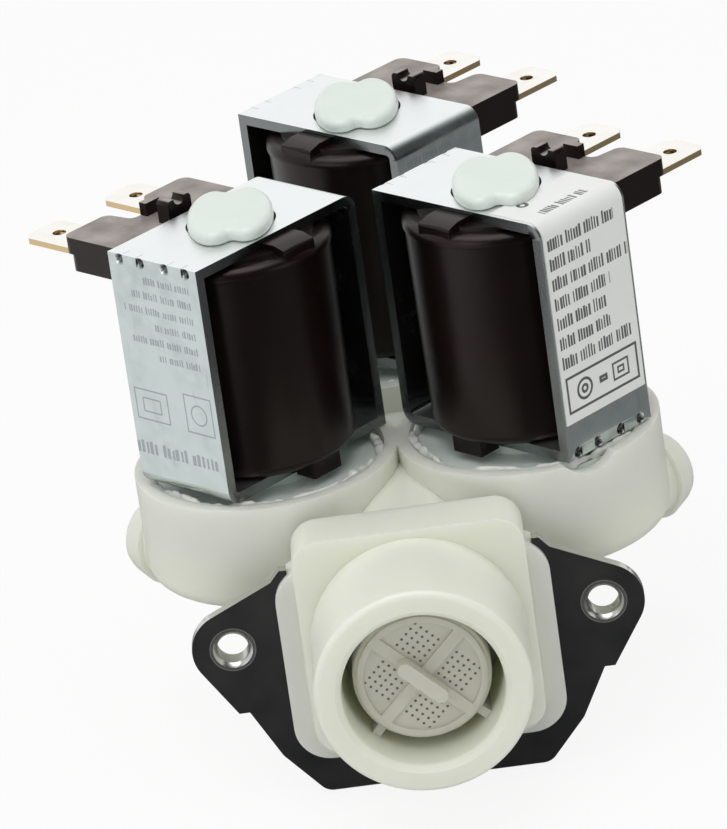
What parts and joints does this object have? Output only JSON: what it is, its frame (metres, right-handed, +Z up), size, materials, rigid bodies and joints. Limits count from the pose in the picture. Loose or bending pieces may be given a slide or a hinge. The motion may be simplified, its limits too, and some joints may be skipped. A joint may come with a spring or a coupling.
{
  "type": "triple solenoid water inlet valve",
  "caption": "Appliance water inlet valve: one inlet nose with filter, a screw bracket, and upright solenoid coils over moulded membrane cups with hose outlets.",
  "frame": {"origin": "midway between the two screw holes, in the front face of the bracket", "axes": "+Y from the inlet into the appliance, parallel to the inlet axis; +Z up along the coil axes; +X to the right seen from the inlet"},
  "size_m": [0.0842, 0.0993, 0.0691],
  "materials": {
    "body_plastic": "milky white moulded, satin",
    "bracket_steel": "black coated sheet, bare cut edges",
    "filter_plastic": "beige grey moulded",
    "regulator_plastic": "moulded",
    "regulator_rubber": "matt",
    "label_film": "printed film",
    "yoke_steel": "plated strip",
    "coil_plastic": "dark brown moulded, glossy",
    "bobbin_plastic": "moulded",
    "copper_wire": "enamelled wire, wound solid",
    "bush_steel": "rolled strip",
    "spade_brass": "tinned strip",
    "tube_plastic": "greenish white, translucent",
    "armature_steel": "turned",
    "spring_steel": "drawn wire",
    "membrane_rubber": "matt"
  },
  "bodies": {
    "housing": {"valve_body": "body_plastic", "bracket": "bracket_steel", "inlet_filter": "filter_plastic", "regulator_holder": "regulator_plastic", "regulator_washer": "regulator_rubber", "rating_label": "label_film", "yoke_cover_left": "yoke_steel", "yoke_base_left": "yoke_steel", "coil_case_left": "coil_plastic", "bobbin_left": "bobbin_plastic", "winding_left": "copper_wire", "flux_bush_lower_left": "bush_steel", "flux_bush_upper_left": "bush_steel", "spade_a_left": "spade_brass", "spade_b_left": "spade_brass", "guide_tube_left": "tube_plastic", "return_spring_left": "spring_steel", "membrane_left": "membrane_rubber", "yoke_cover_right": "yoke_steel", "yoke_base_right": "yoke_steel", "coil_case_right": "coil_plastic", "bobbin_right": "bobbin_plastic", "winding_right": "copper_wire", "flux_bush_lower_right": "bush_steel", "flux_bush_upper_right": "bush_steel", "spade_a_right": "spade_brass", "spade_b_right": "spade_brass", "guide_tube_right": "tube_plastic", "return_spring_right": "spring_steel", "membrane_right": "membrane_rubber", "yoke_cover_rear": "yoke_steel", "yoke_base_rear": "yoke_steel", "coil_case_rear": "coil_plastic", "bobbin_rear": "bobbin_plastic", "winding_rear": "copper_wire", "flux_bush_lower_rear": "bush_steel", "flux_bush_upper_rear": "bush_steel", "spade_a_rear": "spade_brass", "spade_b_rear": "spade_brass", "guide_tube_rear": "tube_plastic", "return_spring_rear": "spring_steel", "membrane_rear": "membrane_rubber"},
    "armature_left": {"armature_left": "armature_steel", "armature_seal_left": "membrane_rubber"},
    "insert_left": {"membrane_insert_left": "regulator_plastic"},
    "armature_right": {"armature_right": "armature_steel", "armature_seal_right": "membrane_rubber"},
    "insert_right": {"membrane_insert_right": "regulator_plastic"},
    "armature_rear": {"armature_rear": "armature_steel", "armature_seal_rear": "membrane_rubber"},
    "insert_rear": {"membrane_insert_rear": "regulator_plastic"}
  },
  "joints": [
    {"name": "armature_lift_left", "type": "slide", "parent": "housing", "child": "armature_left", "axis": [0, 0, 1], "range_m": [0, 0.0024], "stiffness_N_per_m": 60, "springref_m": -0.008, "deforming": ["return_spring_left"]},
    {"name": "armature_lift_right", "type": "slide", "parent": "housing", "child": "armature_right", "axis": [0, 0, 1], "range_m": [0, 0.0024], "stiffness_N_per_m": 60, "springref_m": -0.008, "deforming": ["return_spring_right"]},
    {"name": "armature_lift_rear", "type": "slide", "parent": "housing", "child": "armature_rear", "axis": [0, 0, 1], "range_m": [0, 0.0024], "stiffness_N_per_m": 60, "springref_m": -0.008, "deforming": ["return_spring_rear"]},
    {"name": "membrane_lift_left", "type": "slide", "parent": "housing", "child": "insert_left", "axis": [0, 0, 1], "range_m": [0, 0.00144], "deforming": ["membrane_left"]},
    {"name": "membrane_lift_right", "type": "slide", "parent": "housing", "child": "insert_right", "axis": [0, 0, 1], "range_m": [0, 0.00144], "deforming": ["membrane_right"]},
    {"name": "membrane_lift_rear", "type": "slide", "parent": "housing", "child": "insert_rear", "axis": [0, 0, 1], "range_m": [0, 0.00144], "deforming": ["membrane_rear"]}
  ],
  "couplings": [
    {"joint": "membrane_lift_left", "follows": "armature_lift_left", "ratio": 0.6},
    {"joint": "membrane_lift_right", "follows": "armature_lift_right", "ratio": 0.6},
    {"joint": "membrane_lift_rear", "follows": "armature_lift_rear", "ratio": 0.6}
  ]
}
